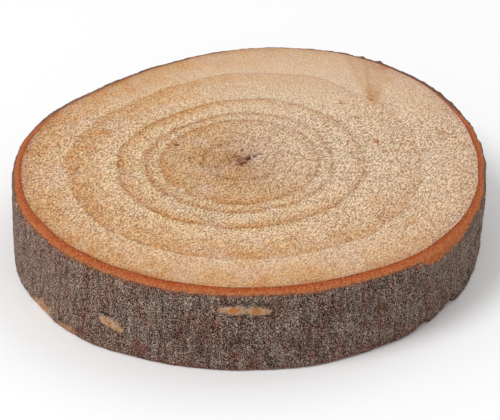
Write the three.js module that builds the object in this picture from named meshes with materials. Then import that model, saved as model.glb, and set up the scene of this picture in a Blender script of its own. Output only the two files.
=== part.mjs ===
// A round slice of branch wood: sawn straight across, dried, and still in its bark.
// Millimetres, +Z up. It lies flat, with the origin in the middle of its underside.

import * as THREE from 'three';
import { mergeVertices } from 'three/addons/utils/BufferGeometryUtils.js';

// Driving dimensions
const sliceWidth = 105; // bark to bark along X
const sliceThickness = 20; // lower saw cut to upper saw cut
const barkThickness = 2.4; // from the wood out to the rough face of the bark
const upperEdgeDrop = 1.2; // how far the bark's upper edge is rubbed down
const lowerEdgeDrop = 0.9; // how far its lower edge is rubbed up
const lowerEdgeInset = 0.8; // and in

// A branch isn't truly round. These are its radii, evenly spaced anticlockwise from +X.
// It has a shoulder near 56 degrees, where a twig once grew, and a flat side beyond it.
const girthRadii = [
  52.2, 52.6, 53.8, 53.7, 51.7, 48.6, 47.9, 50.5,
  52.3, 53.0, 52.8, 52.2, 51.8, 51.8, 53.0, 52.9,
];

// Low ribs in the bark, which run with the branch
const ribCount = 19;
const ribHeight = 0.08;
const ribDrift = 2.4; // how far the ribs stray from even spacing, in radians
const driftCount = 3;

// One side leans in below the upper cut.
const leanDepth = 2.7; // at the underside
const leanAngle = THREE.MathUtils.degToRad(332);
const leanSpread = 0.6; // radians to either side

const columnsRound = 160; // steps around the wall

const nominalRadius = sliceWidth / 2;

const girthCurve = new THREE.CatmullRomCurve3(
  girthRadii.map((radius, step) => {
    const angle = (step / girthRadii.length) * 2 * Math.PI;
    return new THREE.Vector3(radius * Math.cos(angle), radius * Math.sin(angle), 0);
  }),
  true,
);

// The branch's size at an angle, as a share of the nominal radius
function girthAt(angle) {
  const turns = (angle / (2 * Math.PI) + 1) % 1;
  return girthCurve.getPoint(turns).length() / nominalRadius;
}

function ribAt(angle) {
  return ribHeight * Math.sin(ribCount * angle + ribDrift * Math.sin(driftCount * angle));
}

function leanAt(angle, height) {
  const away = Math.atan2(Math.sin(angle - leanAngle), Math.cos(angle - leanAngle));
  const share = Math.exp(-((away / leanSpread) ** 2));
  return leanDepth * share * (1 - height / sliceThickness);
}

// Half of a section through the slice: out over the lower cut, up the bark with its
// rubbed edges, and back in over the upper cut
function sectionPoints() {
  const atBark = (inset, height) => new THREE.Vector2(nominalRadius - inset, height);
  return [
    new THREE.Vector2(0, 0),
    atBark(lowerEdgeInset, 0),
    atBark(lowerEdgeInset * 0.3, lowerEdgeDrop * 0.3),
    atBark(0, lowerEdgeDrop),
    atBark(0, sliceThickness * 0.3),
    atBark(0, sliceThickness * 0.55),
    atBark(0, sliceThickness * 0.8),
    atBark(0, sliceThickness - upperEdgeDrop * 2),
    atBark(barkThickness * 0.14, sliceThickness - upperEdgeDrop),
    atBark(barkThickness * 0.5, sliceThickness - upperEdgeDrop * 0.45),
    atBark(barkThickness, sliceThickness),
    new THREE.Vector2(0, sliceThickness),
  ];
}

// Push each point of the turned blank out to the branch's own girth at its angle.
function growToGirth(blank) {
  const points = blank.getAttribute('position');
  for (let i = 0; i < points.count; i += 1) {
    const radius = Math.hypot(points.getX(i), points.getY(i));
    const onAxis = radius < nominalRadius / 2;
    if (onAxis) continue;
    const angle = Math.atan2(points.getY(i), points.getX(i));
    const grown = radius * girthAt(angle) + ribAt(angle) - leanAt(angle, points.getZ(i));
    points.setX(i, grown * Math.cos(angle));
    points.setY(i, grown * Math.sin(angle));
  }
}

// Bring the slice to its width and stand the origin in the middle of its underside.
function fitToFrame(slice) {
  slice.computeBoundingBox();
  const size = slice.boundingBox.getSize(new THREE.Vector3());
  const middle = slice.boundingBox.getCenter(new THREE.Vector3());
  slice.translate(-middle.x, -middle.y, 0);
  slice.scale(sliceWidth / size.x, sliceWidth / size.x, 1);
}

function makeSlice() {
  const blank = new THREE.LatheGeometry(sectionPoints(), columnsRound);
  blank.rotateX(Math.PI / 2); // a lathe turns about Y
  blank.deleteAttribute('normal');
  blank.deleteAttribute('uv');
  growToGirth(blank);
  const slice = mergeVertices(blank, 1e-3);
  fitToFrame(slice);
  slice.computeVertexNormals();
  return slice;
}

const driedWood = new THREE.MeshStandardMaterial({
  color: '#cda985',
  roughness: 0.85,
  metalness: 0,
});

const woodSlice = new THREE.Mesh(makeSlice(), driedWood);
woodSlice.name = 'wood_slice';

const part = new THREE.Group();
part.add(woodSlice);

export default part;
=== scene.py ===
import math

import bmesh
import bpy
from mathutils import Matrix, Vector, noise
from mathutils.bvhtree import BVHTree


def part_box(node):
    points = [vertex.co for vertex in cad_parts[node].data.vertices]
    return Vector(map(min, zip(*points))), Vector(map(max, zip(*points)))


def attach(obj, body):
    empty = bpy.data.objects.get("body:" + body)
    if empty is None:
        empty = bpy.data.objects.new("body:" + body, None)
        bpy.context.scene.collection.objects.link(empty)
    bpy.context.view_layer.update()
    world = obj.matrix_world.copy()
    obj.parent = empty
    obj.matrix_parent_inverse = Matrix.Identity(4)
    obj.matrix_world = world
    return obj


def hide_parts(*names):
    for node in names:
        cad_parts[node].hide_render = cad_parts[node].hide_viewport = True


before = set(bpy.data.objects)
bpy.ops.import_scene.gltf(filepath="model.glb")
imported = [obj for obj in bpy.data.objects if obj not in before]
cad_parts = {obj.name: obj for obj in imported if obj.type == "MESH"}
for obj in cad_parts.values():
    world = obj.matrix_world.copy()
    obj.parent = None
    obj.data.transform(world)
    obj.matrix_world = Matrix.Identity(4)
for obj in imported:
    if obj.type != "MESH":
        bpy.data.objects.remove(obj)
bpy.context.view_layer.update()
sliceLow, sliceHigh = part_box("wood_slice")

mm = 0.001
perMm = 1.0 / mm
sliceTop = sliceHigh.z / mm
columnCount = 720  # columns round the slice, shared by wood and bark so that they meet exactly
sharpTurn = math.radians(50.0)  # edges that turn more than this stay crisp
girthHeights = (2.0, 15.0)  # mm, where the slice's outline is measured; its wall is straight there
tiny = 1e-6
slack = 1e-4  # what a mesh's single-precision numbers may be out by

branch = {
    "bark": 2.4,  # mm, cambium to bark face
    "pith": Vector((-1.4, 1.4)),  # mm, off the middle, as the branch grew faster on one side
    "twigAngle": 50.0,  # degrees anticlockwise from +X, where a side twig starts
}


def fade(value, start, end):
    # 0 at start, 1 at end, eased, and start may be the larger
    share = min(1.0, max(0.0, (value - start) / (end - start)))
    return share * share * (3.0 - 2.0 * share)


def hump(value, middle, halfWidth):
    # 1 at the middle and 0 from halfWidth on
    return fade(abs(value - middle), halfWidth, 0.0)


def turnBetween(angle, other):
    # signed degrees from other to angle
    return (angle - other + 180.0) % 360.0 - 180.0


def grain(x, y, z, seed):
    # smooth noise, -1 to 1, about one lump for each unit
    return noise.noise(Vector((x + seed * 17.3, y - seed * 9.1, z + seed * 31.7)))


def linearColour(code):
    # sRGB hex to linear RGBA
    parts = [int(code[i:i + 2], 16) / 255.0 for i in (1, 3, 5)]
    linear = [p / 12.92 if p <= 0.04045 else ((p + 0.055) / 1.055) ** 2.4 for p in parts]
    return (*linear, 1.0)


def addNode(tree, kind, settings, output=0):
    # a node with its settings and links; a colour may be a hex code, "stops" fills a ramp
    made = tree.nodes.new("ShaderNode" + kind)
    for key, value in settings.items():
        if isinstance(value, str) and value.startswith("#"):
            value = linearColour(value)
        if key == "stops":
            ramp = made.color_ramp.elements
            for index, (place, code) in enumerate(value):
                stop = ramp[index] if index < len(ramp) else ramp.new(place)
                stop.position = place
                stop.color = linearColour(code) if isinstance(code, str) else (code, code, code, 1.0)
        elif isinstance(key, str) and hasattr(made, key):
            setattr(made, key, value)
        elif isinstance(value, bpy.types.NodeSocket):
            tree.links.new(value, made.inputs[key])
        else:
            made.inputs[key].default_value = value
    return made.outputs[output] if len(made.outputs) else made


def startMaterial(name):
    material = bpy.data.materials.new(name)
    material.use_nodes = True
    material.node_tree.nodes.clear()
    return material, material.node_tree


def girthTable(node):
    # for every column, how much the wall leans and its radius in mm, found from the middle outwards
    mesh = node.data
    tree = BVHTree.FromPolygons([v.co for v in mesh.vertices], [p.vertices for p in mesh.polygons])
    table = []
    for column in range(columnCount):
        angle = math.radians(column * 360.0 / columnCount)
        way = Vector((math.cos(angle), math.sin(angle), 0.0))
        reach = [tree.ray_cast(Vector((0.0, 0.0, height * mm)), way)[3] / mm for height in girthHeights]
        table.append(((reach[1] - reach[0]) / (girthHeights[1] - girthHeights[0]), reach[0]))
    return table


girths = girthTable(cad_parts["wood_slice"])


def girthAt(column, height):
    slope, start = girths[column % columnCount]
    return start + slope * (height - girthHeights[0])


def rimPoint(column, height):
    # where wood meets bark
    angle = math.radians(column * 360.0 / columnCount)
    radius = girthAt(column, height) - branch["bark"]
    return Vector((math.cos(angle), math.sin(angle))) * radius


def rimTable(height):
    # radius of the rim from the pith, for each half degree round the pith
    seen = []
    for column in range(columnCount):
        arm = rimPoint(column, height) - branch["pith"]
        seen.append((math.degrees(math.atan2(arm.y, arm.x)) % 360.0, arm.length))
    seen.sort()
    seen = [(seen[-1][0] - 360.0, seen[-1][1])] + seen + [(seen[0][0] + 360.0, seen[0][1])]
    table = []
    spot = 0
    for step in range(columnCount):
        angle = step * 360.0 / columnCount
        while seen[spot + 1][0] < angle:
            spot += 1
        share = (angle - seen[spot][0]) / (seen[spot + 1][0] - seen[spot][0])
        table.append(seen[spot][1] + share * (seen[spot + 1][1] - seen[spot][1]))
    mean = sum(table) / len(table)
    return [radius / mean for radius in table], mean


growthShape = {
    "roundness": 0.23,  # share of the outline's shape that the first rings have
    "takeUp": 0.7,  # how fast later rings take up the outline
    "drift": 1.49,  # mm that the middle rings sit off the pith
    "driftAngle": 213.6,
    "twigDip": 1.5,  # mm that rings dip beside the twig
    "dipSpan": 13.0,  # degrees either side of it
    "dipFrom": 30.0,  # mm of growth where the dip starts and is full
    "dipTo": 39.0,
    "rounds": 5,  # each round brings the ring closer to the place
}


def growthAt(place, rim):
    # mean radius in mm of the growth ring through a place on a sawn face
    outline, mean = rim
    arm = place - branch["pith"]
    size = arm.length
    driftWay = math.radians(growthShape["driftAngle"])
    for _ in range(growthShape["rounds"]):
        share = size / mean
        drift = growthShape["drift"] * max(0.0, 4.0 * share * (1.0 - share))
        x = arm.x - drift * math.cos(driftWay)
        y = arm.y - drift * math.sin(driftWay)
        shape = outline[int(math.degrees(math.atan2(y, x)) % 360.0 * columnCount / 360.0) % columnCount]
        take = growthShape["roundness"] + (1.0 - growthShape["roundness"]) * share ** growthShape["takeUp"]
        size = math.hypot(x, y) / (1.0 + take * (shape - 1.0))
    angle = math.degrees(math.atan2(arm.y, arm.x))
    dip = hump(turnBetween(angle, branch["twigAngle"]), 0.0, growthShape["dipSpan"])
    dip *= fade(size, growthShape["dipFrom"], growthShape["dipTo"])
    return size + growthShape["twigDip"] * dip


sawnWood = {
    "cuts": columnCount // 6 - 1,  # each side of the starting hexagon takes a sixth of the columns
    "sawWay": 60.0,  # degrees from +X that the saw marks run
    "sawPitch": 1.1,  # mm between saw marks
    "sawLength": 14.0,  # mm that one mark runs
    "sawDepth": 0.035,
    "grainSize": (0.75, 1.3),  # mm across and along the saw's way, torn fibres of the rough cut
    "grainDepth": 0.05,
    "waveLength": 11.0,
    "waveDepth": 0.06,
    "pithRadius": 2.6,
    "pithDepth": 0.25,
    "lowerShift": Vector((200.0, -60.0)),  # mm, gives the lower cut marks of its own
    "smoothFrom": 14.0,  # mm in Y: the cut runs cleaner towards the back
    "smoothTo": 38.0,
    "smoothShare": 0.7,
    "wornFrom": -24.0,  # mm in Y: hands have rubbed the front a little smoother
    "wornTo": -44.0,
    "wornShare": 0.4,
}

twigTrace = {
    "start": Vector((28.2, 25.5)),  # mm, inner end of the buried twig
    "end": Vector((27.0, 46.5)),  # where it leaves through the bark
    "halfWidths": (1.3, 5.2),  # mm, at the two ends
    "heartHalf": 0.8,  # mm, the darker middle
    "fill": 0.32,  # how plainly each part shows
    "edge": 0.18,
    "heart": 0.28,
    "stem": 0.45,
    "stain": 0.8,
}


def traceAt(place):
    # how much of the buried twig shows at a place
    run = twigTrace["end"] - twigTrace["start"]
    arm = place - twigTrace["start"]
    share = arm.dot(run) / run.length_squared
    aside = (arm.x * run.y - arm.y * run.x) / run.length
    narrow, wide = twigTrace["halfWidths"]
    half = narrow + (wide - narrow) * min(1.0, max(0.0, share))
    fill = twigTrace["fill"] * fade(abs(aside) / half, 1.3, 0.6)
    edge = twigTrace["edge"] * hump(aside / half, -0.9, 0.25) * fade(share, 0.2, 0.6)
    heart = twigTrace["heart"] * hump(aside, -0.6, twigTrace["heartHalf"])
    stem = twigTrace["stem"] * hump(share, 0.12, 0.32) * fade(abs(aside) / half, 1.3, 0.4)
    return min(1.0, fill + edge + heart + stem) * fade(share, -0.12, 0.05)


def sawnHeight(place):
    # how far below the flat cut the surface lies, in mm
    across = math.radians(sawnWood["sawWay"])
    along = place.x * math.cos(across) + place.y * math.sin(across)
    beside = -place.x * math.sin(across) + place.y * math.cos(across)
    rough = 1.0 - sawnWood["smoothShare"] * fade(place.y, sawnWood["smoothFrom"], sawnWood["smoothTo"])
    wide, long = sawnWood["grainSize"]
    torn = 0.5 + 0.5 * grain(beside / wide, along / long, 0.0, 1)
    saw = 0.5 + 0.5 * grain(beside / sawnWood["sawPitch"], along / sawnWood["sawLength"], 0.0, 2)
    wave = 0.5 + 0.5 * grain(place.x / sawnWood["waveLength"], place.y / sawnWood["waveLength"], 0.0, 3)
    hollow = hump((place - branch["pith"]).length, 0.0, sawnWood["pithRadius"])
    return (
        rough * (sawnWood["grainDepth"] * torn + sawnWood["sawDepth"] * saw)
        + sawnWood["waveDepth"] * wave
        + sawnWood["pithDepth"] * hollow * (0.5 + torn)
    )


def finishPiece(shape, name, material):
    # turns the bmesh into an object in metres that rides on the slice's one body
    bmesh.ops.recalc_face_normals(shape, faces=shape.faces)
    bmesh.ops.scale(shape, vec=(mm, mm, mm), verts=shape.verts)
    mesh = bpy.data.meshes.new(name)
    shape.to_mesh(mesh)
    shape.free()
    mesh.materials.append(material)
    piece = bpy.data.objects.new(name, mesh)
    bpy.context.scene.collection.objects.link(piece)
    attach(piece, "root")
    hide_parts("wood_slice")
    print(name, "made,", len(mesh.polygons), "faces")
    return piece


def makeSawnRound(material):
    shape = bmesh.new()
    bmesh.ops.create_circle(shape, cap_ends=True, cap_tris=True, segments=6, radius=1.0)
    bmesh.ops.subdivide_edges(shape, edges=shape.edges[:], cuts=sawnWood["cuts"], use_grid_fill=True)
    growth = shape.verts.layers.float.new("growth")
    trace = shape.verts.layers.float.new("trace")
    columnOf = shape.verts.layers.float.new("column")
    rowOf = shape.verts.layers.float.new("row")
    # each corner fan of the hexagon becomes a sixth of the round, row by row
    sixth = math.radians(60.0)
    for vert in shape.verts:
        phi = (math.atan2(vert.co.y, vert.co.x) + sixth / 2.0) % math.tau
        size = vert.co.length
        sector = math.floor(phi / sixth + tiny)
        turn = phi - sector * sixth
        row = size * math.cos(turn - sixth / 2.0) / math.cos(sixth / 2.0)
        along = math.sin(turn) / (math.sin(turn) + math.sin(sixth - turn)) if size > tiny else 0.0
        vert[columnOf] = (sector + along) * columnCount / 6.0
        vert[rowOf] = row
    # the copy of the sheet becomes the lower face, and its walls close the solid
    made = bmesh.ops.extrude_face_region(shape, geom=shape.faces[:])
    lowerVerts = {item for item in made["geom"] if isinstance(item, bmesh.types.BMVert)}
    rims = {True: rimTable(0.0), False: rimTable(sliceTop)}
    for vert in shape.verts:
        lower = vert in lowerVerts
        column = vert[columnOf]
        near = math.floor(column + slack)
        level = 0.0 if lower else sliceTop
        edge = rimPoint(near, level).lerp(rimPoint(near + 1, level), max(0.0, column - near))
        place = branch["pith"].lerp(edge, vert[rowOf])
        flat = vert[rowOf] > 1.0 - slack
        drop = 0.0 if flat else sawnHeight(place + sawnWood["lowerShift"] if lower else place)
        vert.co = (place.x, place.y, drop if lower else sliceTop - drop)
        vert[growth] = growthAt(place, rims[lower])
        vert[trace] = 0.0 if lower else traceAt(place)
    bmesh.ops.recalc_face_normals(shape, faces=shape.faces)
    mapSawnRound(shape, columnOf)
    for edge in shape.edges:
        edge.smooth = edge.calc_face_angle(0.0) < sharpTurn
    for face in shape.faces:
        face.smooth = True
    return finishPiece(shape, "sawnRound", material)


roundMap = {  # the bake map: the upper face large, the lower face smaller beside it, the wall in a strip
    "reach": 53.0,  # mm, more than any radius
    "discs": {1: (0.357, 0.64, 0.353), -1: (0.86, 0.14, 0.135)},  # upper and lower: middle, half width
    "wallStart": 0.01,
    "wallWide": 0.68,
    "wallTall": 0.25,
}


def mapSawnRound(shape, columnOf):
    layer = shape.loops.layers.uv.new("OFBake")
    reach = roundMap["reach"]
    start = roundMap["wallStart"]
    for face in shape.faces:
        side = 0 if abs(face.normal.z) < 0.5 else (1 if face.normal.z > 0.0 else -1)
        columns = [loop.vert[columnOf] for loop in face.loops]
        wraps = max(columns) - min(columns) > columnCount / 2
        for loop in face.loops:
            if side:
                x, y, size = roundMap["discs"][side]
                spot = (x + loop.vert.co.x / reach * size, y + loop.vert.co.y / reach * size)
            else:
                column = loop.vert[columnOf]
                column += columnCount if wraps and column < columnCount / 2 else 0
                across = roundMap["wallWide"] * column / columnCount
                spot = (start + across, start + roundMap["wallTall"] * loop.vert.co.z / sliceTop)
            loop[layer].uv = spot


bark = {
    "section": [  # mm below the bark face, mm above the base, rows from the last corner
        (2.4, 0.0, 0),
        (0.8, 0.0, 4),
        (0.24, 0.27, 2),
        (0.0, 0.9, 3),
        (0.0, 17.6, 56),
        (0.336, 18.8, 5),
        (1.2, 19.46, 4),
        (2.4, 20.0, 4),
    ],
    "inset": 0.28,  # mm that the mean face lies further in where the slice is widest,
    "insetFrom": 0.965,  # so that its ridges stay in the slice's box
    "insetTo": 0.997,
    # lumps: mm along the girth, mm up the bark, mm outwards
    "swell": (14.0, 16.0, 0.16),
    "ridge": (2.4, 9.0, 0.10),
    "fineRidge": (1.0, 7.0, 0.07),
    "flake": (2.2, 2.6, 0.12),
    "pebble": (0.8, 0.9, 0.09),
    "crack": (3.4, 11.0, 0.25),
    "crackPatch": (6.0, 6.0, 1.0),
    "knockGrain": 1.1,  # mm, how ragged the edge of a knock is
    "fissureHalf": 0.6,  # mm, half the width of a crack
    "fissureOpen": 0.4,  # mm, the layer laid open in it
    "scalySpan": (80.0, 50.0),  # degrees from +X where the coarser bark starts and is full
    "dull": 0.7,  # share of the opened edge that has weathered back to skin colour, and on which side
    "dullAngle": 92.0,
    "dullSpan": (78.0, 60.0),
    "square": 0.3,  # share of the upper edge's rounding that this side has lost
    "squareSpan": (105.0, 80.0),
    "squareTo": 18.8,
    "edgeFrom": 17.7,  # mm up, where the rubbed upper edge starts
    "edgeTo": 18.9,
    "edgeWear": 0.25,  # mm that it dips
    "wearSizes": (5.0, 1.1),  # mm, broad and fine dips
    "footHeight": 0.8,  # mm, the ragged lower edge
    "footDepth": 1.6,
    "poreDepth": 0.3,  # mm under the face that a lenticel reaches
    "poreStand": 0.25,  # mm that its lips stand out
}

lenticels = [  # breathing pores across the bark: angle, height, half length, half height, slope, waist
    (269.0, 15.5, 5.7, 1.15, -0.04, 0.3),
    (236.4, 7.0, 3.1, 1.15, -0.2, 0.0),
    (18.0, 11.0, 4.2, 1.0, 0.05, 0.2),
    (76.0, 14.2, 3.4, 0.9, -0.06, 0.0),
    (128.0, 8.6, 5.0, 1.0, 0.03, 0.3),
    (171.0, 13.0, 2.6, 0.8, 0.1, 0.0),
]

# knocks: angle, then mm: height, half width, half height, depth, layer laid open, and the pale cork showing
chips = [
    (213.5, 0.5, 5.2, 2.9, 0.08, 0.6, 0.9),
    (223.5, 0.3, 3.4, 1.9, 0.06, 0.8, 0.6),
    (320.0, 18.9, 7.0, 2.2, 0.1, 1.1, 0.0),
    (328.0, 18.9, 4.5, 1.6, 0.1, 1.0, 0.0),
    (343.5, 11.7, 1.4, 1.2, 0.8, 0.3, 0.0),
    (347.5, 13.2, 1.3, 1.2, 0.5, 0.1, 0.0),
    (336.0, 3.0, 2.2, 2.2, 0.6, 0.1, 0.0),
    (328.0, 0.6, 2.4, 2.2, 0.55, 0.1, 0.0),
    (322.8, 0.0, 1.4, 0.9, 0.1, 0.7, 0.0),
    (317.0, 0.5, 2.2, 1.8, 0.5, 0.1, 0.0),
    (203.0, 4.6, 1.4, 1.4, 0.35, 0.1, 0.0),
    (92.0, 6.0, 2.4, 2.2, 0.4, 0.7, 0.0),
    (24.0, 1.2, 3.0, 1.6, 0.5, 0.9, 0.0),
    (141.0, 0.6, 4.0, 1.4, 0.4, 0.8, 0.6),
]

fissures = [  # short cracks down the bark: angle, height, half length, depth
    (223.5, 15.8, 2.6, 0.4),
    (216.5, 13.6, 1.8, 0.25),
    (252.0, 9.6, 2.4, 0.3),
    (258.5, 15.8, 2.0, 0.3),
    (289.0, 12.0, 1.2, 0.3),
    (302.0, 11.2, 1.6, 0.3),
    (297.0, 8.0, 1.2, 0.3),
    (160.0, 9.0, 3.0, 0.3),
    (112.0, 12.0, 2.4, 0.3),
    (45.0, 8.0, 3.2, 0.3),
    (5.0, 14.0, 2.0, 0.3),
]

swells = [  # broad bulges low on the bark: angle, then mm: height, half width, half height, size
    (227.0, 1.0, 21.0, 9.0, 0.95),
    (336.0, 2.0, 15.0, 10.0, 0.75),
]

twigStubs = {  # small stubs on the upper edge beside the twig
    "stands": [(61.0, 0.45), (56.3, 0.5)],  # angle, mm that it stands out
    "span": 1.1,  # degrees
    "rise": (15.0, 18.5),  # mm up, where a stub starts and is full
    "fill": 0.2,
}


def lenticelAt(angle, height, girth):
    # 1 inside a lenticel, 0 outside
    most = 0.0
    for middle, level, halfLong, halfTall, slope, waist in lenticels:
        aside = math.radians(turnBetween(angle, middle)) * girth
        if abs(aside) > halfLong * 1.2:
            continue
        rise = height - level - slope * aside
        rise += 0.25 * grain(aside / 1.6, 0.0, 0.0, 5)
        tall = halfTall * math.sqrt(max(0.0, 1.0 - (abs(aside) / halfLong) ** 2.2))
        tall *= 1.0 - waist * hump(aside, 0.4, 1.8)
        if tall > 0.05:
            most = max(most, fade(abs(rise) / tall, 1.15, 0.75))
    return most


def barkCuts(angle, height, girth):
    # depth in mm of chips and cracks, how deep the bark is laid open, and how much pale cork shows
    cut = 0.0
    opened = 0.0
    cork = 0.0
    for middle, level, wide, tall, depth, layer, pale in chips:
        aside = math.radians(turnBetween(angle, middle)) * girth
        if abs(aside) > wide * 1.6:
            continue
        ragged = 1.0 + 0.5 * grain(aside / bark["knockGrain"], height / bark["knockGrain"], middle, 7)
        far = math.hypot(aside / wide, (height - level) / tall) * ragged
        missing = fade(far, 1.0, 0.8)
        cut = max(cut, missing * depth)
        opened = max(opened, missing * layer)
        cork = max(cork, missing * pale)
    for middle, level, halfLong, depth in fissures:
        aside = math.radians(turnBetween(angle, middle)) * girth
        aside += 0.5 * grain(0.0, middle, height / 1.5, 8)
        gap = hump(aside, 0.0, bark["fissureHalf"]) * hump(height, level, halfLong)
        cut = max(cut, gap * depth)
        opened = max(opened, gap * bark["fissureOpen"])
    return cut, opened, cork


def barkLump(name, x, y, height, seed):
    across, up, _ = bark[name]
    return grain(x / across, y / across, height / up, seed)


def barkRelief(angle, height, girth):
    # mm outwards of the bark's mean face
    x = girth * math.cos(math.radians(angle))
    y = girth * math.sin(math.radians(angle))
    scaly = fade(abs(turnBetween(angle, 0.0)), *bark["scalySpan"])
    crack = fade(abs(barkLump("crack", x, y, height, 14)), 0.07, 0.0)
    crack *= fade(barkLump("crackPatch", x, y, height, 15), 0.0, 0.35)
    return (
        bark["swell"][2] * barkLump("swell", x, y, height, 10)
        + bark["ridge"][2] * barkLump("ridge", x, y, height, 11)
        + bark["fineRidge"][2] * barkLump("fineRidge", x, y, height, 16)
        + bark["flake"][2] * (0.6 + 2.0 * scaly) * barkLump("flake", x, y, height, 12)
        + bark["pebble"][2] * (1.0 + 0.6 * scaly) * barkLump("pebble", x, y, height, 13)
        - bark["crack"][2] * crack
    )


def nearBox(angle, girth):
    # 1 where the bark's mean face touches the slice's box, 0 well away from it
    turn = math.radians(angle)
    reachX = abs(girth * math.cos(turn)) / (sliceHigh.x / mm)
    reachY = abs(girth * math.sin(turn)) / (sliceHigh.y / mm)
    return fade(max(reachX, reachY), bark["insetFrom"], bark["insetTo"])


def makeBarkSleeve(material):
    shape = bmesh.new()
    blankRadius = 100.0  # mm, a plain ring to start from; the slice's own outline comes after the spin
    # the section's sides, each cut into its rows, then joined at the corners
    corners = bark["section"]
    for (depth, height, _), (nextDepth, nextHeight, rowCount) in zip(corners, corners[1:] + corners[:1]):
        ends = ((blankRadius - depth, 0.0, height), (blankRadius - nextDepth, 0.0, nextHeight))
        edge = shape.edges.new([shape.verts.new(end) for end in ends])
        if rowCount > 1:
            bmesh.ops.subdivide_edges(shape, edges=[edge], cuts=rowCount - 1)
    bmesh.ops.remove_doubles(shape, verts=shape.verts, dist=0.01)
    layer = shape.verts.layers.float.new("layer")
    pore = shape.verts.layers.float.new("lenticel")
    columnOf = shape.verts.layers.int.new("column")
    placeOf = shape.verts.layers.float.new("place")
    depthOf = shape.verts.layers.float.new("depth")
    markSection(shape, blankRadius, placeOf, depthOf)
    bmesh.ops.spin(
        shape,
        geom=shape.verts[:] + shape.edges[:],
        cent=(0.0, 0.0, 0.0),
        axis=(0.0, 0.0, 1.0),
        angle=math.tau,
        steps=columnCount,
        use_merge=True,
    )
    fullDepth = branch["bark"]
    rim = fullDepth - 0.01
    poreDepth = bark["poreDepth"]
    edgeFrom = bark["edgeFrom"]
    footDepth = bark["footDepth"]
    for vert in shape.verts:
        height = vert.co.z
        depth = vert[depthOf]
        column = round(math.degrees(math.atan2(vert.co.y, vert.co.x)) * columnCount / 360.0) % columnCount
        vert[columnOf] = column
        angle = column * 360.0 / columnCount
        turn = math.radians(angle)
        fromDull = abs(turnBetween(angle, bark["dullAngle"]))
        girth = girthAt(column, height)
        loose = 1.0 - fade(depth, poreDepth, fullDepth)  # the cambium edge stays on the wood
        cut, opened, cork = barkCuts(angle, height, girth)
        onPore = lenticelAt(angle, height, girth) if depth < poreDepth else 0.0
        out = barkRelief(angle, height, girth) * (1.0 - 0.6 * onPore) + bark["poreStand"] * onPore
        out -= bark["inset"] * nearBox(angle, girth)
        for middle, level, halfWide, halfTall, size in swells:
            aside = math.radians(turnBetween(angle, middle)) * girth
            out += size * hump(math.hypot(aside / halfWide, (height - level) / halfTall), 0.0, 1.0)
        for middle, size in twigStubs["stands"]:
            stand = hump(turnBetween(angle, middle), 0.0, twigStubs["span"])
            stand *= fade(height, *twigStubs["rise"])
            out += size * stand
            cut -= twigStubs["fill"] * stand
        radius = girth - depth + (out - cut) * loose
        if height > edgeFrom and depth < rim:  # rubbed upper edge
            x = girth * math.cos(turn)
            y = girth * math.sin(turn)
            broad, small = bark["wearSizes"]
            wear = 0.5 + 0.5 * grain(x / broad, y / broad, 0.0, 20)
            wear += 0.5 * grain(x / small, y / small, depth, 21)
            wear = max(0.0, wear) * fade(height, edgeFrom, bark["edgeTo"]) * fade(depth, fullDepth, 1.2)
            height -= bark["edgeWear"] * wear
            square = bark["square"] * fade(fromDull, *bark["squareSpan"])
            height += square * (sliceTop - height) * fade(height, edgeFrom, bark["squareTo"])
        if height < bark["footHeight"] and depth < footDepth:  # ragged lower edge
            height += 0.8 * max(0.0, cut) * fade(depth, footDepth, 0.2)
        dulled = bark["dull"] * fade(fromDull, *bark["dullSpan"])
        vert[layer] = max(depth * (1.0 - dulled), opened)
        vert[pore] = max(onPore, cork)
        x = min(max(radius * math.cos(turn), sliceLow.x / mm), sliceHigh.x / mm)
        y = min(max(radius * math.sin(turn), sliceLow.y / mm), sliceHigh.y / mm)
        vert.co = (x, y, height)
    bmesh.ops.recalc_face_normals(shape, faces=shape.faces)
    mapBarkSleeve(shape, columnOf, placeOf)
    for edge in shape.edges:
        onRim = all(vert[depthOf] > rim for vert in edge.verts)
        edge.smooth = not (onRim and edge.calc_face_angle(0.0) > sharpTurn)
    for face in shape.faces:
        face.smooth = True
    return finishPiece(shape, "barkSleeve", material)


def markSection(shape, blankRadius, placeOf, depthOf):
    # notes each section point's length along the section and its depth below the bark face
    start = min(shape.verts, key=lambda option: (option.co.x, option.co.z))
    walked = 0.0
    vert, last = start, None
    while True:
        vert[placeOf] = walked
        vert[depthOf] = blankRadius - vert.co.x
        options = [edge.other_vert(vert) for edge in vert.link_edges if edge.other_vert(vert) is not last]
        # the first step leaves along the base, the way that the section was laid out
        following = min(options, key=lambda option: option.co.z) if last is None else options[0]
        if following is start:
            return
        walked += (following.co - vert.co).length
        vert, last = following, vert


sleeveMap = {  # the bake map: a quarter of the girth in each of four strips, the inner wall in a fifth
    "start": 0.01,
    "wide": 0.98,
    "hiddenStart": 0.005,
    "hiddenTall": 0.02,
    "stripStart": 0.035,
    "stripTall": 0.235,
    "gap": 0.005,
}


def mapBarkSleeve(shape, columnOf, placeOf):
    layer = shape.loops.layers.uv.new("OFBake")
    quarter = columnCount // 4
    start = sleeveMap["start"]
    wide = sleeveMap["wide"]
    tall = sleeveMap["stripTall"]
    longest = max(vert[placeOf] for vert in shape.verts)
    for face in shape.faces:
        columns = [loop.vert[columnOf] for loop in face.loops]
        wraps = max(columns) - min(columns) > columnCount // 2
        columns = [column + columnCount if wraps and column < quarter else column for column in columns]
        places = [loop.vert[placeOf] for loop in face.loops]
        hidden = min(places) < slack and max(places) > longest - slack
        strip = min(columns) // quarter
        for loop, column, place in zip(face.loops, columns, places):
            if hidden:
                rise = sleeveMap["hiddenTall"] if place > slack else 0.0
                spot = (start + wide * column / columnCount, sleeveMap["hiddenStart"] + rise)
            else:
                along = (column - strip * quarter) / quarter
                floor = sleeveMap["stripStart"] + strip * (tall + sleeveMap["gap"])
                spot = (start + wide * along, floor + tall * place / longest)
            loop[layer].uv = spot


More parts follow.
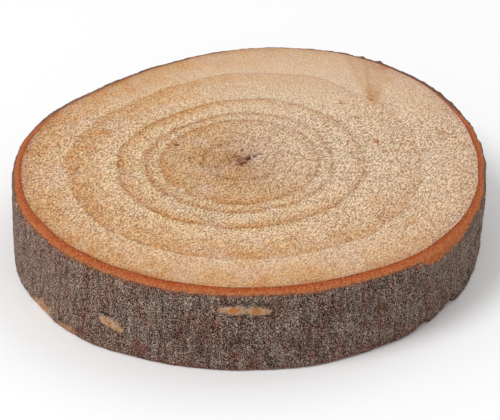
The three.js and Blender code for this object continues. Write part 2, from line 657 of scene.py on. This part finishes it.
alderEndGrain = {
    # mm of growth from the pith, colour: each year's pale wood ends in a narrow browner line
    "rings": [
        (0.0, "#85593E"), (1.5, "#966E4A"), (3.0, "#AC8458"), (5.0, "#B78C62"),
        (7.5, "#BD9268"), (8.3, "#A77B4E"), (9.0, "#BD956A"), (11.0, "#C29B71"),
        (14.5, "#C5A37A"), (16.5, "#C19667"), (17.3, "#B58758"), (18.0, "#CFAE85"),
        (19.4, "#CFAE83"), (20.3, "#BC9060"), (20.9, "#BF956A"), (21.6, "#D3B68E"),
        (23.5, "#D5B58D"), (25.6, "#CBA375"), (26.7, "#BA8A57"), (27.4, "#D2B48B"),
        (30.0, "#D6B690"), (34.0, "#D1B087"), (37.6, "#C9A072"), (38.7, "#CBA377"),
        (39.3, "#D3B38D"), (42.0, "#D2AF88"), (46.0, "#CCA579"), (48.2, "#C39A6E"),
        (50.0, "#A57249"),
    ],
    # mm of growth, how far sap has stained the wood orange, most at each year's end
    "sap": [
        (0.0, 0.1), (9.0, 0.2), (14.0, 0.3), (16.9, 0.6), (17.8, 0.1), (20.3, 0.6), (21.2, 0.05),
        (24.0, 0.35), (26.6, 0.75), (27.3, 0.15), (30.0, 0.35), (32.0, 0.7), (35.0, 0.85), (38.4, 0.8),
        (39.4, 0.2), (43.0, 0.55), (47.0, 0.8), (50.0, 0.6),
    ],
    # mm of growth, how plainly a thin brown line closes the year
    "yearEnds": [
        (16.8, 0.0), (17.3, 0.35), (17.8, 0.0), (19.9, 0.0), (20.4, 0.4), (20.9, 0.0), (26.2, 0.0),
        (26.7, 0.4), (27.2, 0.0), (38.2, 0.0), (38.7, 0.4), (39.2, 0.0),
    ],
    "span": 52.0,  # mm of growth that those three lists are spread over
    "pale": (0.0, 0.5),  # how pale and pink the wood is on the stained side and on the other
    "sapSide": 205.0,  # degrees round the pith at which the stain is strongest
    "paleFibreAndHighlight": (1.38, 1.46, 1.55, 1.0),  # how much lighter a cleanly cut fibre is, partly its own colour and partly a painted highlight on its relief, and a torn one darker, partly painted shade
    "darkFibreAndShade": (0.52, 0.43, 0.35, 1.0),
    "grainSize": 0.25,  # mm, one torn fibre bundle; real alder pores are 0.05 mm, too fine to show
    "pithTurn": 50.0,  # degrees that the pith's streak lies at
    "bump": 0.3,  # mm, the height that the finest fibres seem to have
    "wander": 2.4,  # mm that the rings stray
    "feather": 1.6,  # mm that their edges are blurred
    "patterns": {  # size in mm, detail, roughness, lacunarity
        "wander": (9.0, 2.0, 0.5, 2.0),
        "feather": (0.9, 1.0, 0.5, 2.0),
        "blotch": (4.0, 4.0, 0.65, 2.0),
        "fleck": (0.6, 3.0, 0.7, 2.0),
        "grey": (6.0, 3.0, 0.5, 2.3),
        "pores": (0.5, 0.0, 0.5, 2.0),
        "ragged": (0.9, 2.0, 0.5, 2.0),
    },
}

specks = [  # x, y in mm on the upper face, half width in mm, colour, strength
    (-0.1, 1.4, 0.8, "#581408", 0.95),
    (-1.0, 0.0, 0.7, "#601A0C", 0.95),
    (-1.8, -1.1, 0.8, "#641C10", 0.9),
    (1.0, 2.2, 0.6, "#5E3028", 0.8),
    (2.3, 3.2, 0.7, "#6E4034", 0.7),
    (-1.6, 4.8, 0.6, "#5E3428", 0.7),
    (-3.2, 2.2, 0.5, "#70432E", 0.6),
    (-16.1, 7.0, 0.6, "#5E4236", 0.9),
    (-13.2, 1.8, 0.45, "#74503E", 0.8),
    (-42.5, 13.3, 0.5, "#755A42", 0.8),
    (28.3, 8.6, 0.8, "#A05A2C", 0.85),
    (29.7, 4.5, 0.7, "#AC6C3E", 0.8),
    (32.3, 4.9, 0.6, "#AC6C3E", 0.7),
    (24.0, 19.0, 0.8, "#AC7847", 0.7),
    (20.9, 25.2, 0.9, "#AE743C", 0.7),
    (42.8, 12.3, 1.1, "#B07A44", 0.7),
    (28.0, -16.0, 2.4, "#BC8040", 0.3),
    (33.5, -17.8, 2.6, "#C08548", 0.3),
    (34.6, -24.0, 2.0, "#C08548", 0.3),
    (36.5, -33.0, 2.2, "#C08A50", 0.3),
    (31.6, 35.5, 1.6, "#C08048", 0.3),
    (31.0, 41.5, 1.4, "#B86038", 0.6),
    (-32.0, 12.0, 1.8, "#BC7C44", 0.5),
    (-14.5, -11.7, 0.7, "#E2D0C0", 0.65),
]


def sawnAlder():
    # rough-sawn alder end grain: matt and granular, pale tan with soft broad rings and sap stains
    material, tree = startMaterial("sawnAlder")
    spot = addNode(tree, "TexCoord", {}, 3)
    growth = addNode(tree, "Attribute", {"attribute_name": "growth"}, 2)
    trace = addNode(tree, "Attribute", {"attribute_name": "trace"}, 2)

    drawn = {}
    for name, (size, detail, roughness, lacunarity) in alderEndGrain["patterns"].items():
        drawn[name] = addNode(tree, "TexNoise", {
            "Vector": spot, "Scale": perMm / size, "Detail": detail, "Roughness": roughness,
            "Lacunarity": lacunarity,
        })

    # rings wander a little, and their colours run into each other
    stray = alderEndGrain["wander"]
    blur = alderEndGrain["feather"]
    wanderBy = addNode(tree, "Math", {
        "operation": "MULTIPLY_ADD", 0: drawn["wander"], 1: stray, 2: -stray / 2.0,
    })
    featherBy = addNode(tree, "Math", {
        "operation": "MULTIPLY_ADD", 0: drawn["feather"], 1: blur, 2: -blur / 2.0,
    })
    wandered = addNode(tree, "Math", {"operation": "ADD", 0: growth, 1: wanderBy})
    feathered = addNode(tree, "Math", {"operation": "ADD", 0: wandered, 1: featherBy})
    ringSpan = alderEndGrain["span"]
    ringShare = addNode(tree, "Math", {"operation": "DIVIDE", 0: feathered, 1: ringSpan})
    stops = [(size / ringSpan, code) for size, code in alderEndGrain["rings"]]
    colour = addNode(tree, "ValToRGB", {"Fac": ringShare, "stops": stops})

    # sap stain: by ring, by side and in blotches
    stops = [(size / ringSpan, share) for size, share in alderEndGrain["sap"]]
    sapRing = addNode(tree, "ValToRGB", {"Fac": ringShare, "stops": stops})
    pithPlace = (branch["pith"].x * mm, branch["pith"].y * mm, sliceTop * mm)
    fromPith = addNode(tree, "VectorMath", {"operation": "SUBTRACT", 0: spot, 1: pithPlace})
    flat = addNode(tree, "VectorMath", {"operation": "MULTIPLY", 0: fromPith, 1: (1.0, 1.0, 0.0)})
    way = addNode(tree, "VectorMath", {"operation": "NORMALIZE", 0: flat})
    side = math.radians(alderEndGrain["sapSide"])
    toSide = addNode(tree, "VectorMath", {
        "operation": "DOT_PRODUCT", 0: way, 1: (math.cos(side), math.sin(side), 0.0),
    }, 1)
    sideShare = addNode(tree, "MapRange", {
        "Value": toSide, "From Min": -0.9, "From Max": 0.3, "To Min": 0.12, "To Max": 1.0,
    })
    blotchShare = addNode(tree, "MapRange", {
        "Value": drawn["blotch"], "From Min": 0.38, "From Max": 0.60, "To Min": 0.1, "To Max": 1.0,
    })
    fleckShare = addNode(tree, "MapRange", {
        "Value": drawn["fleck"], "From Min": 0.42, "From Max": 0.58, "To Min": 0.2, "To Max": 1.0,
    })
    sap = sapRing
    for share in (sideShare, blotchShare, fleckShare):
        sap = addNode(tree, "Math", {"operation": "MULTIPLY", 0: sap, 1: share})
    # the side away from the stain is paler and pinker
    least, most = alderEndGrain["pale"]
    paleSide = addNode(tree, "MapRange", {
        "Value": toSide, "From Min": 0.2, "From Max": -0.9, "To Min": least, "To Max": most,
    })
    ends = addNode(tree, "Math", {"operation": "DIVIDE", 0: wandered, 1: ringSpan})
    stops = [(size / ringSpan, share) for size, share in alderEndGrain["yearEnds"]]
    endMask = addNode(tree, "ValToRGB", {"Fac": ends, "stops": stops})
    greyMask = addNode(tree, "ValToRGB", {"Fac": drawn["grey"], "stops": [(0.48, 0.0), (0.66, 0.35)]})
    traceBy = addNode(tree, "Math", {"operation": "MULTIPLY", 0: trace, 1: twigTrace["stain"]})
    for share, tone in (
        (paleSide, "#D2BAA4"), (sap, "#BC773A"), (endMask, "#A2714E"), (greyMask, "#CBB19E"),
        (traceBy, "#B07B46"),
    ):
        colour = addNode(tree, "Mix", {"data_type": "RGBA", 0: share, 6: colour, 7: tone}, 2)

    # torn fibres slant along the saw's way; the cut is cleaner in the last wood and towards the back
    turned = addNode(tree, "Mapping", {
        "Vector": spot,
        "Rotation": (0.0, 0.0, -math.radians(sawnWood["sawWay"])),
    })
    stretched = addNode(tree, "Mapping", {"Vector": turned, "Scale": (0.45, 1.0, 1.0)})
    grainScale = perMm / alderEndGrain["grainSize"]
    fibre = addNode(tree, "TexNoise", {"Vector": stretched, "Scale": grainScale, "Detail": 1.0})
    place = addNode(tree, "SeparateXYZ", {"Vector": spot}, 1)
    cutClean = addNode(tree, "MapRange", {
        "Value": place, "From Min": sawnWood["smoothFrom"] * mm, "From Max": sawnWood["smoothTo"] * mm,
        "To Min": 1.0, "To Max": 1.0 - sawnWood["smoothShare"],
    })
    wornWood = addNode(tree, "ValToRGB", {"Fac": ringShare, "stops": [
        (0.0, 1.0), (0.25, 0.92), (0.72, 1.0), (0.82, 0.95),
    ]})
    wornFront = addNode(tree, "MapRange", {
        "Value": place, "From Min": sawnWood["wornFrom"] * mm, "From Max": sawnWood["wornTo"] * mm,
        "To Min": 1.0, "To Max": 1.0 - sawnWood["wornShare"],
    })
    rough = addNode(tree, "Math", {"operation": "MULTIPLY", 0: cutClean, 1: wornWood})
    rough = addNode(tree, "Math", {"operation": "MULTIPLY", 0: rough, 1: wornFront})
    # pale and dark fibre flecks: partly the fibres' own colour, partly painted highlight and painted shade
    # standing for their relief
    for fleckToneAndLight, stops in (
        ("paleFibreAndHighlight", [(0.49, 0.0), (0.58, 1.0)]),
        ("darkFibreAndShade", [(0.40, 1.0), (0.50, 0.0)]),
    ):
        mask = addNode(tree, "ValToRGB", {"Fac": fibre, "stops": stops})
        fleckAndLightShare = addNode(tree, "Math", {"operation": "MULTIPLY", 0: mask, 1: rough})
        colour = addNode(tree, "Mix", {
            "data_type": "RGBA", "blend_type": "MULTIPLY", 0: fleckAndLightShare, 6: colour, 7: alderEndGrain[fleckToneAndLight],
        }, 2)
    poreMask = addNode(tree, "ValToRGB", {"Fac": drawn["pores"], "stops": [(0.22, 0.6), (0.29, 0.0)]})
    poreBy = addNode(tree, "Math", {"operation": "MULTIPLY", 0: poreMask, 1: rough})
    colour = addNode(tree, "Mix", {"data_type": "RGBA", 0: poreBy, 6: colour, 7: "#6A4220"}, 2)

    # pith: a ragged dark streak in a brown stain
    ragged = drawn["ragged"]
    pithTurned = addNode(tree, "Mapping", {
        "Vector": fromPith, "Rotation": (0.0, 0.0, -math.radians(alderEndGrain["pithTurn"])),
    })
    pithDrawn = addNode(tree, "Mapping", {
        "Vector": pithTurned, "Location": (-0.25, 0.3, 0.0),
        "Scale": (0.3 * perMm, 0.9 * perMm, 0.01 * perMm),
    })
    pithFar = addNode(tree, "VectorMath", {"operation": "LENGTH", 0: pithDrawn}, 1)
    pithFar = addNode(tree, "Math", {"operation": "MULTIPLY_ADD", 0: ragged, 1: 1.6, 2: pithFar})
    stainMask = addNode(tree, "MapRange", {
        "Value": pithFar, "From Min": 1.75, "From Max": 0.95, "To Max": 0.75,
    })
    colour = addNode(tree, "Mix", {"data_type": "RGBA", 0: stainMask, 6: colour, 7: "#8A5038"}, 2)
    pithFar = addNode(tree, "Math", {"operation": "MULTIPLY_ADD", 0: drawn["pores"], 1: 1.6, 2: pithFar})
    pithFar = addNode(tree, "Math", {"operation": "MULTIPLY", 0: pithFar, 1: 0.35})
    pithMask = addNode(tree, "ValToRGB", {"Fac": pithFar, "stops": [(0.55, 0.95), (0.72, 0.0)]})
    colour = addNode(tree, "Mix", {"data_type": "RGBA", 0: pithMask, 6: colour, 7: "#52281A"}, 2)

    # single specks
    for x, y, half, code, strength in specks:
        here = (x * mm, y * mm, sliceTop * mm)
        far = addNode(tree, "VectorMath", {"operation": "DISTANCE", 0: spot, 1: here}, 1)
        far = addNode(tree, "Math", {"operation": "DIVIDE", 0: far, 1: half * mm})
        far = addNode(tree, "Math", {"operation": "MULTIPLY_ADD", 0: ragged, 1: 2.2, 2: far})
        mask = addNode(tree, "MapRange", {
            "Value": far, "From Min": 2.3, "From Max": 1.6, "To Max": strength,
        })
        colour = addNode(tree, "Mix", {"data_type": "RGBA", 0: mask, 6: colour, 7: code}, 2)

    bumpBy = addNode(tree, "Math", {"operation": "MULTIPLY", 0: fibre, 1: rough})
    bumpTall = alderEndGrain["bump"] * mm
    bump = addNode(tree, "Bump", {"Height": bumpBy, "Strength": 1.0, "Distance": bumpTall})
    surface = addNode(tree, "BsdfPrincipled", {
        "Base Color": colour, "Roughness": 0.82, "IOR": 1.45, "Specular IOR Level": 0.25, "Normal": bump,
    })
    addNode(tree, "OutputMaterial", {"Surface": surface})
    return material


barkSpots = [  # on the bark: angle, height in mm, half long, half tall in mm, colour, strength
    (266.4, 15.6, 1.3, 0.85, "#B8712F", 0.8),
    (271.7, 15.5, 1.2, 0.8, "#B06C33", 0.8),
    # painted shadow: the dark spots just above and below the lenticel at 269 degrees stand for shade round
    # its lips
    (266.0, 17.1, 1.3, 0.5, "#30221A", 0.55),
    (269.3, 17.2, 0.9, 0.6, "#2A2620", 0.65),
    (272.6, 17.0, 1.1, 0.4, "#3A2C22", 0.45),
    (266.0, 13.9, 1.2, 0.35, "#30221A", 0.5),
    (271.4, 13.6, 1.0, 0.4, "#4A2422", 0.6),
    (235.0, 8.9, 2.0, 0.35, "#241A0C", 0.8),
    (238.2, 6.3, 0.9, 0.6, "#A88848", 0.7),
    (302.0, 11.2, 1.5, 1.1, "#5A3A24", 0.6),
    (297.2, 8.0, 0.9, 0.8, "#5E2A20", 0.5),
    (343.5, 11.7, 1.5, 1.2, "#2E0A06", 1.0),
    (235.6, 7.2, 1.1, 0.4, "#B86C2C", 0.75),
    (213.5, 1.6, 2.2, 0.5, "#C07A3C", 0.6),
    (312.0, 1.0, 1.6, 0.5, "#7A3A2C", 0.6),
    (228.0, 2.4, 2.0, 0.9, "#6A332C", 0.6),
    (244.0, 3.0, 2.6, 1.6, "#6C3A34", 0.55),
    (258.0, 6.5, 0.7, 3.0, "#3E261C", 0.6),
    (284.0, 9.0, 0.6, 2.6, "#42281E", 0.55),
    (247.0, 11.0, 0.8, 2.2, "#7C6656", 0.5),
    (206.5, 15.5, 0.4, 0.4, "#C9B8A8", 0.4),
    (197.0, 18.7, 0.6, 0.4, "#E0D0C0", 0.7),
]

alderSkin = {
    "litBy": (3.2, 3.3, 3.4, 1.0),  # how much lighter than the skin its pale specks are
    "patterns": {  # squeeze in X, Y and Z, size in mm, detail, roughness
        "broad": ((1.0, 1.0, 0.45), 4.5, 4.0, 0.6),
        "moss": ((1.0, 1.0, 0.45), 1.4, 2.0, 0.6),
        "rust": ((1.0, 1.0, 0.45), 2.6, 4.0, 0.65),
        "ribs": ((1.0, 1.0, 0.16), 0.8, 2.0, 0.55),  # fine cracks and ribs run up the bark
        "speckle": ((1.0, 1.0, 0.75), 0.23, 1.0, 0.5),  # grit, drawn no finer than shows
        "scales": ((1.0, 0.45, 0.7), 0.32, 1.0, 0.5),
        "mottle": ((1.0, 1.0, 1.0), 1.0, 3.0, 0.6),
        "fibres": ((1.0, 1.0, 1.0), 0.45, 2.0, 0.6),
    },
    "inner": [  # share of the way from the bark face to the cambium, colour
        (0.18, "#5E3828"), (0.27, "#986244"), (0.36, "#BC7044"), (0.58, "#BC683C"), (0.74, "#B45A2E"),
        (0.90, "#AC5228"), (0.95, "#8C4226"), (1.00, "#783A26"),
    ],
    "bump": 0.3,  # mm
    "opened": [(0.09, 0.0), (0.27, 1.0)],  # the same share, and how far the inner bark shows
}


def alderBark():
    # thin alder bark: matt grey-brown skin with granular grey and maroon specks; where the saw or a
    # knock has opened it, the inner bark beneath has dried orange
    material, tree = startMaterial("alderBark")
    spot = addNode(tree, "TexCoord", {}, 3)
    depth = addNode(tree, "Attribute", {"attribute_name": "layer"}, 2)
    pore = addNode(tree, "Attribute", {"attribute_name": "lenticel"}, 2)
    across = addNode(tree, "SeparateXYZ", {"Vector": spot}, 0)
    upright = addNode(tree, "SeparateXYZ", {"Vector": spot}, 2)
    upAcross = addNode(tree, "VectorMath", {"operation": "DOT_PRODUCT", 0: spot, 1: (0.7, 0.7, 0.0)}, 1)

    drawn = {}
    for name, (squeeze, size, detail, roughness) in alderSkin["patterns"].items():
        squeezed = addNode(tree, "Mapping", {"Vector": spot, "Scale": squeeze})
        drawn[name] = addNode(tree, "TexNoise", {
            "Vector": squeezed, "Scale": perMm / size, "Detail": detail, "Roughness": roughness,
        })
    speckle = drawn["speckle"]
    mottle = drawn["mottle"]

    # skin colour, from broad to fine
    skin = addNode(tree, "ValToRGB", {"Fac": drawn["broad"], "stops": [
        (0.32, "#49332A"), (0.45, "#5B4840"), (0.56, "#67574E"), (0.68, "#746961"),
    ]})
    # painted light and shade: the skin is made lighter towards -X as painted light and darker towards +X as
    # painted shade
    paintedLightLeft = addNode(tree, "MapRange", {
        "Value": across, "From Min": -20.0 * mm, "From Max": -46.0 * mm, "To Max": 0.55,
    })
    shaded = addNode(tree, "MapRange", {
        "Value": across, "From Min": 0.0, "From Max": 24.0 * mm, "To Max": 0.45,
    })
    # the side towards +X and the back has a redder, darker edge
    redSide = addNode(tree, "MapRange", {
        "Value": upAcross, "From Min": 20.0 * mm, "From Max": 40.0 * mm, "To Max": 0.9,
    })
    mossMask = addNode(tree, "ValToRGB", {"Fac": drawn["moss"], "stops": [(0.50, 0.0), (0.64, 0.4)]})
    rustMask = addNode(tree, "ValToRGB", {"Fac": drawn["rust"], "stops": [(0.48, 0.0), (0.62, 0.85)]})
    ribMask = addNode(tree, "ValToRGB", {"Fac": drawn["ribs"], "stops": [(0.51, 0.0), (0.64, 0.6)]})
    ribPale = addNode(tree, "ValToRGB", {"Fac": drawn["ribs"], "stops": [(0.36, 0.5), (0.47, 0.0)]})
    foot = addNode(tree, "MapRange", {
        "Value": upright, "From Min": 1.6 * mm, "From Max": 0.3 * mm, "To Max": 0.6,
    })
    footBy = addNode(tree, "Math", {"operation": "MULTIPLY", 0: foot, 1: drawn["rust"]})
    for share, tone in (
        (paintedLightLeft, "#8A6A5A"), (shaded, "#4E433C"), (redSide, "#42221A"), (mossMask, "#6C6352"),
        (rustMask, "#603428"), (ribMask, "#35261E"), (ribPale, "#8B7A6C"), (footBy, "#8E4A38"),
    ):
        skin = addNode(tree, "Mix", {"data_type": "RGBA", 0: share, 6: skin, 7: tone}, 2)
    # half of each pale speck's colour comes from the skin round it
    lit = addNode(tree, "Mix", {
        "data_type": "RGBA", "blend_type": "MULTIPLY", 0: 1.0, 6: skin, 7: alderSkin["litBy"],
    }, 2)
    palePart = addNode(tree, "Mix", {"data_type": "RGBA", 0: 0.5, 6: lit, 7: "#B29B8B"}, 2)
    paleMask = addNode(tree, "ValToRGB", {"Fac": speckle, "stops": [(0.51, 0.0), (0.62, 1.0)]})
    darkMask = addNode(tree, "ValToRGB", {"Fac": speckle, "stops": [(0.36, 1.0), (0.48, 0.0)]})
    # at both ends of X the skin is scalier, with pale flakes and dark gaps between them
    flank = addNode(tree, "Math", {"operation": "ABSOLUTE", 0: across})
    flankShare = addNode(tree, "MapRange", {
        "Value": flank, "From Min": 34.0 * mm, "From Max": 48.0 * mm, "To Max": 0.4,
    })
    scalyPale = addNode(tree, "ValToRGB", {"Fac": drawn["scales"], "stops": [(0.52, 0.0), (0.62, 1.0)]})
    scalyDark = addNode(tree, "ValToRGB", {"Fac": drawn["scales"], "stops": [(0.40, 1.0), (0.51, 0.0)]})
    scalyPaleBy = addNode(tree, "Math", {"operation": "MULTIPLY", 0: scalyPale, 1: flankShare})
    scalyDarkBy = addNode(tree, "Math", {"operation": "MULTIPLY", 0: scalyDark, 1: flankShare})
    for share, tone in (
        (paleMask, palePart), (darkMask, "#261209"), (scalyPaleBy, "#B49C8C"), (scalyDarkBy, "#1E120C"),
    ):
        skin = addNode(tree, "Mix", {"data_type": "RGBA", 0: share, 6: skin, 7: tone}, 2)

    # inner bark, opened by the saw
    mottleBy = addNode(tree, "Math", {"operation": "MULTIPLY_ADD", 0: mottle, 1: 1.0, 2: -0.5})
    mottled = addNode(tree, "Math", {"operation": "ADD", 0: depth, 1: mottleBy})
    layerShare = addNode(tree, "Math", {"operation": "DIVIDE", 0: mottled, 1: branch["bark"]})
    inner = addNode(tree, "ValToRGB", {"Fac": layerShare, "stops": alderSkin["inner"]})
    innerFleck = addNode(tree, "ValToRGB", {"Fac": drawn["fibres"], "stops": [(0.53, 0.0), (0.66, 0.7)]})
    innerShade = addNode(tree, "ValToRGB", {"Fac": drawn["fibres"], "stops": [(0.34, 0.6), (0.46, 0.0)]})
    innerDark = addNode(tree, "ValToRGB", {"Fac": speckle, "stops": [(0.34, 0.7), (0.46, 0.0)]})
    for share, tone in ((innerFleck, "#C9865A"), (innerShade, "#8A3C1A"), (innerDark, "#7A3416")):
        inner = addNode(tree, "Mix", {"data_type": "RGBA", 0: share, 6: inner, 7: tone}, 2)
    openMask = addNode(tree, "ValToRGB", {"Fac": layerShare, "stops": alderSkin["opened"]})
    colour = addNode(tree, "Mix", {"data_type": "RGBA", 0: openMask, 6: skin, 7: inner}, 2)

    # lenticels: pale corky lips
    corkTone = addNode(tree, "ValToRGB", {"Fac": mottle, "stops": [
        (0.36, "#AA7A50"), (0.47, "#B89474"), (0.58, "#CCAA90"), (0.70, "#B98A62"),
    ]})
    corkTone = addNode(tree, "Mix", {"data_type": "RGBA", 0: innerDark, 6: corkTone, 7: "#6E4A30"}, 2)
    colour = addNode(tree, "Mix", {"data_type": "RGBA", 0: pore, 6: colour, 7: corkTone}, 2)

    # single spots, flattened along the wall
    for angle, height, long, short, code, strength in barkSpots:
        turn = math.radians(angle)
        girth = girthAt(round(angle * columnCount / 360.0), height)
        here = (girth * math.cos(turn) * mm, girth * math.sin(turn) * mm, height * mm)
        arm = addNode(tree, "VectorMath", {"operation": "SUBTRACT", 0: spot, 1: here})
        arm = addNode(tree, "VectorMath", {
            "operation": "MULTIPLY", 0: arm, 1: (perMm / long, perMm / long, perMm / short),
        })
        far = addNode(tree, "VectorMath", {"operation": "LENGTH", 0: arm}, 1)
        far = addNode(tree, "Math", {"operation": "MULTIPLY_ADD", 0: mottle, 1: 2.0, 2: far})
        mask = addNode(tree, "MapRange", {
            "Value": far, "From Min": 2.2, "From Max": 1.75, "To Max": strength,
        })
        colour = addNode(tree, "Mix", {"data_type": "RGBA", 0: mask, 6: colour, 7: code}, 2)

    bump = addNode(tree, "Bump", {"Height": speckle, "Strength": 1.0, "Distance": alderSkin["bump"] * mm})
    surface = addNode(tree, "BsdfPrincipled", {
        "Base Color": colour, "Roughness": 0.88, "IOR": 1.45, "Specular IOR Level": 0.16, "Normal": bump,
    })
    addNode(tree, "OutputMaterial", {"Surface": surface})
    return material


def studioFloor():
    material, tree = startMaterial("paleFloor")
    surface = addNode(tree, "BsdfPrincipled", {"Base Color": "#F6F6F6", "Roughness": 0.9})
    addNode(tree, "OutputMaterial", {"Surface": surface})
    return material


studio = {
    "aim": Vector((0.14, -4.19, 10.0)),  # mm
    "distance": 805.5,  # mm
    "elevation": 32.6,
    "lens": 263.0,
    "sensor": 36.0,
    "clipStart": 0.01,  # m
    "floorHalf": 3.0,  # m
    "worldStrength": 0.62,
    "lights": [  # place and size in m, watts
        ((-0.42, -0.3, 0.85), 0.45, 4.6),
        ((0.6, 0.6, 0.9), 1.0, 2.5),
    ],
}


def makeStudio():
    scene = bpy.context.scene
    shape = bmesh.new()
    bmesh.ops.create_grid(shape, x_segments=1, y_segments=1, size=studio["floorHalf"])
    mesh = bpy.data.meshes.new("floor")
    shape.to_mesh(mesh)
    shape.free()
    mesh.materials.append(studioFloor())
    floor = bpy.data.objects.new("floor", mesh)
    scene.collection.objects.link(floor)

    for index, (place, size, watts) in enumerate(studio["lights"]):
        lamp = bpy.data.lights.new(f"softbox{index}", "AREA")
        lamp.shape = "DISK"
        lamp.size = size
        lamp.energy = watts
        holder = bpy.data.objects.new(f"softbox{index}", lamp)
        holder.location = place
        holder.rotation_euler = (-Vector(place)).to_track_quat("-Z", "Y").to_euler()
        scene.collection.objects.link(holder)

    world = bpy.data.worlds.new("studioAir")
    world.use_nodes = True
    backdrop = world.node_tree.nodes["Background"]
    backdrop.inputs["Color"].default_value = linearColour("#FFFFFF")
    backdrop.inputs["Strength"].default_value = studio["worldStrength"]
    scene.world = world

    lens = bpy.data.cameras.new("studioCamera")
    lens.lens = studio["lens"]
    lens.sensor_width = studio["sensor"]
    lens.sensor_fit = "HORIZONTAL"
    lens.clip_start = studio["clipStart"]
    camera = bpy.data.objects.new("studioCamera", lens)
    tilt = math.radians(studio["elevation"])
    away = Vector((0.0, -math.cos(tilt), math.sin(tilt))) * studio["distance"]
    camera.location = (studio["aim"] + away) * mm
    camera.rotation_euler = (math.radians(90.0) - tilt, 0.0, 0.0)
    scene.collection.objects.link(camera)
    scene.camera = camera
    scene.view_settings.view_transform = "Standard"
    scene.view_settings.look = "None"
    print("studio ready")


makeSawnRound(sawnAlder())
makeBarkSleeve(alderBark())
makeStudio()
